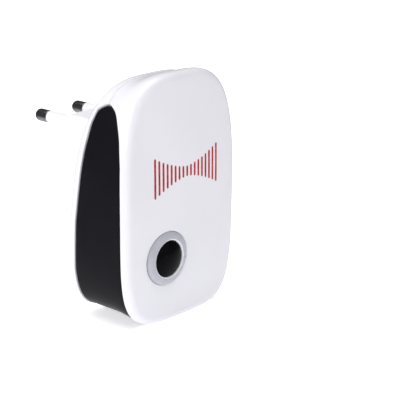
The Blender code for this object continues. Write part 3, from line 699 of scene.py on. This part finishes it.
def rods(spans, radius):
    # straight cylinders along the depth, between two depths at (x, z)
    mesh = bmesh.new()
    for x, z, start, end in spans:
        profile = [(0, start), (radius, start), (radius, end), (0, end)]
        lathe(profile, housed(x, 0, z), fixings["sides"], mesh=mesh)
    return mesh


opening = {
    "clearance": 0.08, "sides": 120, "front": -3.0, "back": 6.0,
    # how far out the edge stands, and at which depth from the front's surface
    "easing": ((0.5, -2.0), (0.5, -0.02), (0.3, 0.02), (0.13, 0.1), (0.03, 0.22), (0.0, 0.4), (0.0, 4.0)),
}


def bezelOpening():
    # follows the front's bulge, so that its edge is eased by the same amount all round
    centreX, centreZ = buttonCentre.x, buttonCentre.z - coverLow.z
    loops = []
    for out, along in opening["easing"]:
        radius = ring["outer"] + opening["clearance"] + out
        loop = []
        for i in range(opening["sides"]):
            turn = 2 * math.pi * i / opening["sides"]
            x = centreX + radius * math.cos(turn)
            z = centreZ + radius * math.sin(turn)
            loop.append(housed(x, faceDepth(x, z) + along, z))
        loops.append(loop)
    hubs = (housed(centreX, opening["front"], centreZ), housed(centreX, opening["back"], centreZ))
    return ringSkin(loops, hubs)


def buildFrontCover():
    inside = shell["wall"] / 2
    gap, past = shell["gap"], fixings["past"]
    bosses = [(x, z, faceDepth(x, z) + inside, meet - gap / 2) for x, z, meet in screwPlaces]
    posts = [(x, z, faceDepth(x, z) + inside, boardFront - gap) for x, z in boardScrews]
    bores = [(x, z, meet - fixings["grip"] - past, meet + past) for x, z, meet in screwPlaces]
    postBores = [(x, z, boardFront - fixings["boardGrip"], boardFront + past) for x, z in boardScrews]
    mesh = cut(coverSkin("front"), [
        ("UNION", rods(bosses, fixings["bossRadius"])),
        ("UNION", rods(posts, fixings["boardPostRadius"])),
        ("DIFFERENCE", rods(bores, fixings["bossBore"])),
        ("DIFFERENCE", rods(postBores, fixings["boardPostBore"])),
        ("DIFFERENCE", bezelOpening()),
    ])
    return makePiece("frontShell", mesh, whiteShell, "housing", ["front_cover"])


def buildBackCover():
    inside = shell["wall"] / 2
    gap, past, floor = shell["gap"], fixings["past"], fixings["floor"]
    behind = depth + fixings["outside"]
    posts = [(x, z, meet + gap / 2, backDepth(z) - inside) for x, z, meet in screwPlaces]
    wells = [(x, z, meet + floor, behind) for x, z, meet in screwPlaces]
    holes = [(x, z, meet - past, meet + floor + past) for x, z, meet in screwPlaces]
    half = plug["rootHalf"] + gap
    low = housed(-half, plug["windowFront"], plug["rootBottom"] - gap)
    high = housed(half, behind, plug["top"] + gap)
    mesh = cut(coverSkin("back"), [
        ("UNION", rods(posts, fixings["postRadius"])),
        ("DIFFERENCE", rods(wells, fixings["counterbore"])),
        ("DIFFERENCE", rods(holes, fixings["clearance"])),
        ("DIFFERENCE", roundedSlab(low, high, plug["windowCorner"])),
    ])
    return makePiece("backShell", mesh, whiteShell, "housing", ["back_cover"])


def drawnHalfDepth(z):
    return bandHalfDepth(z + band["endClearance"])


def bandLoop(turn):
    # the band's section at one turn: a thin rounded strip across the body's depth
    xEdge, zEdge = outline(turn)
    xFront, zFront = outline(turn, shell["frontRound"])
    xBack, zBack = outline(turn, shell["backRound"])
    wallStart = faceDepth(xFront, zFront) + shell["frontRound"] + shell["minFrontWall"]
    wallEnd = backDepth(zBack) - shell["backRound"] - shell["minBackWall"]
    half = drawnHalfDepth(zEdge) + shell["gap"] / 2
    start = max(bandMiddle(zEdge) - half, wallStart) + shell["gap"]
    end = min(bandMiddle(zEdge) + half, wallEnd) - shell["gap"]
    edge = min(band["edge"], (end - start) * band["edgeShare"])
    outer = band["inset"]
    inner = outer + shell["wall"]
    corner = [(edge * (1 - math.sin(a)), edge * (1 - math.cos(a)))
              for a in spread(0, math.pi / 2, band["edgeSteps"])]
    section = [(outer + wide, start + deep) for wide, deep in corner]
    section += [(outer, y) for y in spread(start + edge, end - edge, band["acrossSteps"])[1:-1]]
    section += [(outer + deep, end - wide) for wide, deep in corner]
    section += [(inner, y) for y in spread(end, start, band["acrossSteps"])]
    loop = []
    for inset, y in section:
        x, z = outline(turn, inset)
        loop.append(shaped(x, y, z))
    return loop


def buildBand():
    covered = [turn for turn in turns if drawnHalfDepth(outline(turn)[1]) > band["endHalfDepth"]]
    covered.sort(key=lambda turn: (turn + 3 * math.pi / 2) % (2 * math.pi))
    loops = [bandLoop(turn) for turn in covered]
    return makePiece(
        "sideFrame", ringSkin(loops), blackFrame, "housing", ["side_band"], sharp=40)


bodySocket = socketFace - coverLow.y
plug = {
    "halfWidth": 12.6, "rootHalf": 14.0, "top": 71.1, "faceBottom": 64.5, "rootBottom": 62.0,
    "rootFront": 21.5, "rootRise": 0.4, "faceInset": 0.3, "chamfer": 4.2, "corner": 2.2, "cornerSteps": 6,
    "edge": 0.7, "edgeSteps": 4, "windowFront": 16.0, "windowCorner": 2.5,
    "flangeFront": 21.0, "flangeBack": 22.8, "flangeBeyond": 2.0, "flangeAbove": 1.5,
    "flangeCorner": 2.0, "flangeRim": 0.2, "boreEase": 0.2,
    "rootShares": (0.25, 0.5, 0.75, 0.93), "chamferShares": (0.06, 0.2, 0.4, 0.6, 0.8),
}
pins = {
    "radius": 2.4, "coreRadius": 1.9, "tailRadius": 1.9 * 0.75, "tail": 18.6, "tailTaper": 1.0, "bare": 7.0,
    "nose": 2.4 * 0.9, "noseSteps": 9, "softness": 0.15, "sides": 56,
    "sleeveRadius": 2.35, "sleeveInner": 2.05, "sleeveSeat": 8.0, "sleeveGap": 0.2, "sleeveSoftness": 0.12,
}
pinHeight = pinCentre.z - coverLow.z
pinPlaces = {"left": -pinCentre.x, "right": pinCentre.x}


def baseRing(y, halfWide, bottom, inset=0.0):
    sides = (-halfWide + inset, halfWide - inset, bottom + inset, plug["top"] - inset)
    return [housed(x, y, z) for x, z in cornered(*sides, plug["corner"], plug["cornerSteps"])]


def stationsBetween(start, end, shares):
    # (depth, half width, bottom) at shares of the way from one station to another
    return [tuple(lerp(a, b, share) for a, b in zip(start, end)) for share in shares]


def buildPlugBase():
    face = bodySocket
    root = (plug["rootFront"], plug["rootHalf"], plug["rootBottom"])
    shoulder = (face - plug["chamfer"], plug["halfWidth"], plug["rootBottom"] + plug["rootRise"])
    rim = (face, plug["halfWidth"] - plug["faceInset"], plug["faceBottom"])
    stations = [root] + stationsBetween(root, shoulder, plug["rootShares"])
    stations += stationsBetween(shoulder, rim, plug["chamferShares"])
    loops = [baseRing(*station) for station in stations]
    edge = plug["edge"]
    for angle in spread(0, math.pi / 2, plug["edgeSteps"]):
        inset = edge * (1 - math.cos(angle))
        loops.append(baseRing(face - edge * (1 - math.sin(angle)), *rim[1:], inset=inset))
    beyond = plug["flangeBeyond"]
    half = plug["rootHalf"] + beyond
    low = housed(-half, plug["flangeFront"], plug["rootBottom"] - beyond)
    high = housed(half, plug["flangeBack"], plug["top"] + plug["flangeAbove"])
    flange = roundedSlab(low, high, plug["flangeCorner"], rim=plug["flangeRim"])
    past = fixings["past"]
    seatStart = face - pins["sleeveSeat"] - shell["gap"]
    seats = [(x, pinHeight, seatStart, face + 2 * past) for x in pinPlaces.values()]
    bores = [(x, pinHeight, plug["flangeFront"] - 2 * past, face - past) for x in pinPlaces.values()]
    mesh = cut(ringSkin(loops), [
        ("UNION", flange),
        ("DIFFERENCE", rods(seats, pins["sleeveRadius"] + plug["boreEase"])),
        ("DIFFERENCE", rods(bores, pins["coreRadius"] + plug["boreEase"])),
    ])
    return makePiece("plugBlock", mesh, plugWhite, "housing", ["plug_base"], sharp=35)


def buildPin(side, x, tip):
    # a bare nose, a thinner core for the sleeve and a narrow tail, turned in one piece
    shoulder = tip - pins["bare"]
    nose = tip - pins["nose"]
    profile = softened([
        (0, pins["tail"]), (pins["tailRadius"], pins["tail"]),
        (pins["coreRadius"], pins["tail"] + pins["tailTaper"]), (pins["coreRadius"], shoulder),
        (pins["radius"], shoulder), (pins["radius"], nose),
    ], pins["softness"])
    for angle in spread(0, math.pi / 2, pins["noseSteps"])[1:-1]:
        profile.append((pins["radius"] * math.cos(angle), nose + pins["nose"] * math.sin(angle)))
    profile.append((0, tip))
    mesh = lathe(profile, housed(x, 0, pinHeight), pins["sides"])
    makePiece("contactPin." + side, mesh, pinNickel, "housing", ["pin_" + side])


def buildSleeve(side, x, tip):
    start = bodySocket - pins["sleeveSeat"]
    end = tip - pins["bare"] - pins["sleeveGap"]
    inner, outer = pins["sleeveInner"], pins["sleeveRadius"]
    tube = softened(
        [(inner, start), (outer, start), (outer, end), (inner, end)], pins["sleeveSoftness"], closed=True)
    mesh = lathe(tube, housed(x, 0, pinHeight), pins["sides"], closed=True)
    makePiece("pinSleeve." + side, mesh, sleeveWhite, "housing", ["sleeve_" + side])


def buildPins():
    tip = boxOf("pin_right")[1].y - coverLow.y
    for side, x in pinPlaces.items():
        buildPin(side, x, tip)
        buildSleeve(side, x, tip)


ring = {
    "outer": 10.05, "inner": 6.95, "skirt": 2.9, "skirtInset": 1.05, "rounding": 0.22,
    "sides": 128, "steps": 4,
    # the sloping front, as distances out from the inner edge and depths
    "slope": ((0.3, -0.75), (0.9, -0.72), (1.5, -0.62), (2.1, -0.44)),
    # painted highlight round the inner edge: its width, fade, strength and pale colour
    "lip": 0.5, "paintedHighlightSharpness": 0.6, "paintedHighlightShare": 0.9, "paintedHighlightColour": (0.9, 0.9, 0.93, 1),
}


def addPaintedLipHighlight(material):
    # painted highlight: a paler band painted round the ring's inner edge, standing in for the light its
    # edge catches
    tree = material.node_tree
    shader = tree.nodes["Principled BSDF"]
    base = shader.inputs["Base Color"].links[0].from_socket
    place = addNode(tree, "SeparateXYZ", {"Vector": objectPlace(tree)}).outputs
    flat = addNode(tree, "CombineXYZ", {"X": place["X"], "Z": place["Z"]}).outputs[0]
    centre = (buttonCentre.x * mm, 0, buttonCentre.z * mm)
    away = addNode(tree, "VectorMath", {0: flat, 1: centre}, operation="DISTANCE").outputs["Value"]
    edge = ring["inner"] * mm
    lip = ring["lip"] * mm
    paintedHighlightMask = remap(tree, away, edge + lip, edge + lip * ring["paintedHighlightSharpness"], 0.0, ring["paintedHighlightShare"])
    tree.links.new(blendColour(tree, paintedHighlightMask, base, ring["paintedHighlightColour"]), shader.inputs["Base Color"])


def buildRing():
    # paints a pale highlight band round the ring's inner edge
    addPaintedLipHighlight(ringGrey)
    outer, inner, skirt = ring["outer"], ring["inner"], ring["skirt"]
    profile = [(inner + out, along) for out, along in ring["slope"]]
    profile += [(outer - 0.5, -0.16), (outer, 0.25), (outer, 2.3)]
    profile += [(outer - ring["skirtInset"], skirt), (inner, skirt), (inner, -0.5)]
    centre = housed(buttonCentre.x, 0, buttonCentre.z - coverLow.z)
    rounded = softened(profile, ring["rounding"], closed=True, steps=ring["steps"])
    mesh = lathe(rounded, centre, ring["sides"], closed=True)
    return makePiece("bezelRing", mesh, ringGrey, "housing", ["bezel_ring"])


dome = {
    "radius": 6.74, "rim": -0.3, "crown": 1.3, "skirt": 4.6, "wall": 1.2, "roof": 1.2,
    "sides": 112, "steps": 22,
}


def buildDome():
    # a cap of a sphere, a soft rim, a skirt and a hollow underside
    edge, rim, skirt = dome["radius"], dome["rim"], dome["skirt"]
    inner, roof = edge - dome["wall"], dome["roof"]
    sphere = (edge**2 + dome["crown"] ** 2) / (2 * dome["crown"])
    centreDepth = rim + sphere - dome["crown"]
    profile = [(0, rim - dome["crown"])]
    for radius in spread(0, edge - 0.15, dome["steps"])[1:]:
        profile.append((radius, centreDepth - math.sqrt(sphere**2 - radius**2)))
    profile += [(edge - 0.05, rim + 0.03), (edge, rim + 0.16), (edge, skirt - 0.2), (edge - 0.2, skirt)]
    profile += [(inner, skirt), (inner, roof + 0.3), (inner - 0.3, roof), (0, roof)]
    centre = housed(buttonCentre.x, 0, buttonCentre.z - coverLow.z)
    mesh = lathe(profile, centre, dome["sides"])
    return makePiece("domeButton", mesh, domeBlack, "button", ["button_cap"], sharp=45)


printed = {
    "bars": 17, "middle": (0.7, 56.3), "width": 32.4, "barWidth": 0.92, "tall": 7.4, "short": 2.0,
    "growth": 1.6, "proud": 0.035, "sunk": 0.03, "capSteps": 5, "lengthSteps": 12,
}


def inkBar(mesh, x, z, half, halfHeight):
    # one rounded bar of ink that follows the front's bulge
    straight = halfHeight - half
    cap = []
    for step in range(1, printed["capSteps"]):
        turn = math.pi * step / printed["capSteps"]
        cap.append((half * math.cos(turn), straight + half * math.sin(turn)))
    right = [(half, along) for along in spread(-straight, straight, printed["lengthSteps"])]
    path = right + cap
    path += [(-across, -along) for across, along in path]
    upper, lower = [], []
    for across, along in path:
        deep = faceDepth(x + across, z + along)
        upper.append(mesh.verts.new(housed(x + across, deep - printed["proud"], z + along)))
        lower.append(mesh.verts.new(housed(x + across, deep + printed["sunk"], z + along)))
    bridge(mesh, upper, lower)
    rungs = len(right)
    turned = rungs + len(cap)
    for side in (upper, lower):
        rightSide, topCap = side[:rungs], side[rungs:turned]
        leftSide, bottomCap = side[turned:turned + rungs][::-1], side[turned + rungs:]
        for i in range(rungs - 1):
            mesh.faces.new((rightSide[i], rightSide[i + 1], leftSide[i + 1], leftSide[i]))
        mesh.faces.new([rightSide[-1], *topCap, leftSide[-1]])
        mesh.faces.new([leftSide[0], *bottomCap, rightSide[0]])


def buildPrint():
    # a plain sound-pulse pattern of upright bars, tall at its ends
    mesh = bmesh.new()
    last = printed["bars"] - 1
    for i in range(printed["bars"]):
        away = abs(2 * i / last - 1)
        tall = lerp(printed["short"], printed["tall"], away ** printed["growth"])
        x = printed["middle"][0] + printed["width"] * (i / last - 0.5)
        inkBar(mesh, x, printed["middle"][1], printed["barWidth"] / 2, tall)
    return makePiece("printedPulse", mesh, inkRed, "housing", sharp=50)


buildFrontCover()
buildBackCover()
buildBand()
buildPlugBase()
buildPins()
buildRing()
buildDome()
buildPrint()
print("outer pieces built")


innerLooks = {
    "component_dark": dict(frameLook, tint=(0.02, 0.02, 0.021), shade=(0.015, 0.015, 0.016)),
    "capacitor_amber": dict(ringLook, tint=(0.55, 0.3, 0.03), shade=(0.48, 0.25, 0.02)),
    "capacitor_sleeve": dict(ringLook, tint=(0.02, 0.03, 0.08), shade=(0.015, 0.022, 0.06)),
    "resistor_body": dict(ringLook, tint=(0.3, 0.33, 0.34), shade=(0.26, 0.29, 0.3)),
    "lamp_clear": dict(ringLook, tint=(0.75, 0.8, 0.95), shade=(0.7, 0.75, 0.9)),
    "board_green": dict(ringLook, tint=(0.03, 0.16, 0.07), shade=(0.02, 0.12, 0.05)),
    "piezo_ceramic": dict(plugLook, tint=(0.8, 0.8, 0.78), shade=(0.74, 0.74, 0.72)),
    "lead_red": dict(ringLook, tint=(0.5, 0.02, 0.02), shade=(0.42, 0.015, 0.015)),
    "lead_black": frameLook,
    "lead_brown": dict(ringLook, tint=(0.2, 0.08, 0.03), shade=(0.16, 0.06, 0.02)),
    "lead_blue": dict(ringLook, tint=(0.05, 0.1, 0.4), shade=(0.04, 0.08, 0.34)),
}
innerMaterials = {slot: mouldedPlastic("inner." + slot, look) for slot, look in innerLooks.items()}
innerMaterials["screw_steel"] = screwSteel
innerMaterials["piezo_brass"] = discBrass
innerMaterials["button_black"] = blackFrame
slotOf = {
    "button_stem": "button_black", "switch_plunger": "component_dark", "switch_body": "component_dark",
    "lamp_upper": "lamp_clear", "lamp_left": "lamp_clear", "lamp_right": "lamp_clear",
    "circuit_board": "board_green", "film_capacitor": "capacitor_amber",
    "smoothing_capacitor": "capacitor_sleeve", "step_up_coil": "component_dark",
    "rectifier_block": "component_dark", "driver_chip": "component_dark",
    "driver_transistor": "component_dark",
    "fuse_resistor": "resistor_body", "bleed_resistor": "resistor_body",
    "piezo_brass_disc": "piezo_brass", "piezo_ceramic_disc": "piezo_ceramic", "piezo_lead_red": "lead_red",
    "piezo_lead_black": "lead_black", "mains_lead_left": "lead_brown", "mains_lead_right": "lead_blue",
    "housing_screw_lower_left": "screw_steel", "housing_screw_lower_right": "screw_steel",
    "housing_screw_upper_left": "screw_steel", "housing_screw_upper_right": "screw_steel",
    "board_screw_upper": "screw_steel", "board_screw_lower": "screw_steel",
}
for node, slot in slotOf.items():
    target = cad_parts[node]
    if target.material_slots:
        for place in target.material_slots:
            place.material = innerMaterials[slot]
    else:
        target.data.materials.append(innerMaterials[slot])
print("inner nodes finished")


studio = {
    "floorHalf": 3.0, "floorTint": (0.93, 0.93, 0.94, 1), "floorShade": (0.9, 0.9, 0.915, 1),
    "floorDrift": 4.0, "floorRoughness": 0.8, "floorGlow": 0.62,
    "floorGlossNear": 0.06, "floorGlossFar": 0.24, "floorGlossBright": 0.9, "floorGlossDark": 0.12,
    "floorGlossTint": (0.95, 0.96, 1.0, 1),
    "skyStrength": 0.43, "skyInGloss": 0.07, "skyColour": (0.97, 0.98, 1.0),
    "lights": {
        "keyLeft": {"place": (-1.15, 0.05, 0.35), "size": (0.8, 0.8), "power": 5.6},
        "frontFill": {"place": (0.35, -1.3, 0.35), "size": (1.2, 1.2), "power": 1.15},
        "topSoft": {"place": (0.0, 0.1, 1.1), "size": (1.2, 1.2), "power": 11.0},
    },
    "aim": (0.0, -0.035, -0.02),
}


def buildFloor():
    mesh = bmesh.new()
    half = studio["floorHalf"]
    corners = ((-half, -half), (half, -half), (half, half), (-half, half))
    mesh.faces.new([mesh.verts.new((x, y, coverLow.z * mm)) for x, y in corners])
    data = bpy.data.meshes.new("studioFloor")
    mesh.to_mesh(data)
    mesh.free()
    floor = bpy.data.objects.new("studioFloor", data)
    bpy.context.scene.collection.objects.link(floor)
    material, tree, shader = newMaterial("paleFloor")
    drift = useGroup(tree, slowMottle, {
        "Tint": studio["floorTint"], "Shade": studio["floorShade"], "Scale": studio["floorDrift"]})
    tree.links.new(drift["Color"], shader.inputs["Base Color"])
    tree.links.new(drift["Color"], shader.inputs["Emission Color"])
    shader.inputs["Emission Strength"].default_value = studio["floorGlow"]
    shader.inputs["Roughness"].default_value = studio["floorRoughness"]
    # seen in gloss, the floor is bright close to the part and dark further out
    away = addNode(tree, "VectorMath", {0: objectPlace(tree)}, operation="LENGTH").outputs["Value"]
    near, far = studio["floorGlossNear"], studio["floorGlossFar"]
    glow = remap(tree, away, near, far, studio["floorGlossBright"], studio["floorGlossDark"])
    mirrored = addNode(tree, "Emission", {"Color": studio["floorGlossTint"], "Strength": glow})
    ray = addNode(tree, "LightPath").outputs["Is Glossy Ray"]
    both = addNode(tree, "MixShader", {0: ray, 1: shader.outputs[0], 2: mirrored.outputs[0]})
    tree.links.new(both.outputs[0], tree.nodes["Material Output"].inputs["Surface"])
    data.materials.append(material)


def buildSky():
    # plain white to the camera, soft in its light and dim in gloss
    world = bpy.data.worlds.new("studioSky")
    bpy.context.scene.world = world
    world.use_nodes = True
    tree = world.node_tree
    tree.nodes.clear()
    seen = addNode(tree, "Background", {"Color": (1, 1, 1, 1), "Strength": 1.0})
    ray = addNode(tree, "LightPath").outputs
    strength = remap(tree, ray["Is Glossy Ray"], 0.0, 1.0, studio["skyStrength"], studio["skyInGloss"])
    lit = addNode(tree, "Background", {"Color": (*studio["skyColour"], 1), "Strength": strength})
    mix = addNode(tree, "MixShader", {0: ray["Is Camera Ray"], 1: lit.outputs[0], 2: seen.outputs[0]})
    addNode(tree, "OutputWorld", {"Surface": mix.outputs[0]})


def buildLights():
    for name, setting in studio["lights"].items():
        data = bpy.data.lights.new(name, "AREA")
        data.shape = "RECTANGLE"
        data.size, data.size_y = setting["size"]
        data.energy = setting["power"]
        lamp = bpy.data.objects.new(name, data)
        lamp.location = setting["place"]
        aim = Vector(studio["aim"]) - Vector(setting["place"])
        lamp.rotation_euler = aim.to_track_quat("-Z", "Y").to_euler()
        bpy.context.scene.collection.objects.link(lamp)


view = {
    "place": (-0.34519, -0.36694, 0.12234), "tilt": 72.84, "heading": 48.07, "roll": 0.395,
    "lens": 121.57, "sensor": 36.0, "nearest": 0.01, "farthest": 20.0,
}


def buildCamera():
    data = bpy.data.cameras.new("studioCamera")
    data.sensor_width = view["sensor"]
    data.lens = view["lens"]
    data.clip_start = view["nearest"]
    data.clip_end = view["farthest"]
    camera = bpy.data.objects.new("studioCamera", data)
    camera.location = view["place"]
    level = Euler((math.radians(view["tilt"]), 0, math.radians(-view["heading"]))).to_matrix()
    camera.rotation_euler = (level @ Matrix.Rotation(math.radians(view["roll"]), 3, "Z")).to_euler()
    bpy.context.scene.collection.objects.link(camera)
    bpy.context.scene.camera = camera


buildFloor()
buildSky()
buildLights()
buildCamera()
bpy.context.scene.view_settings.view_transform = "Standard"
print("studio built")
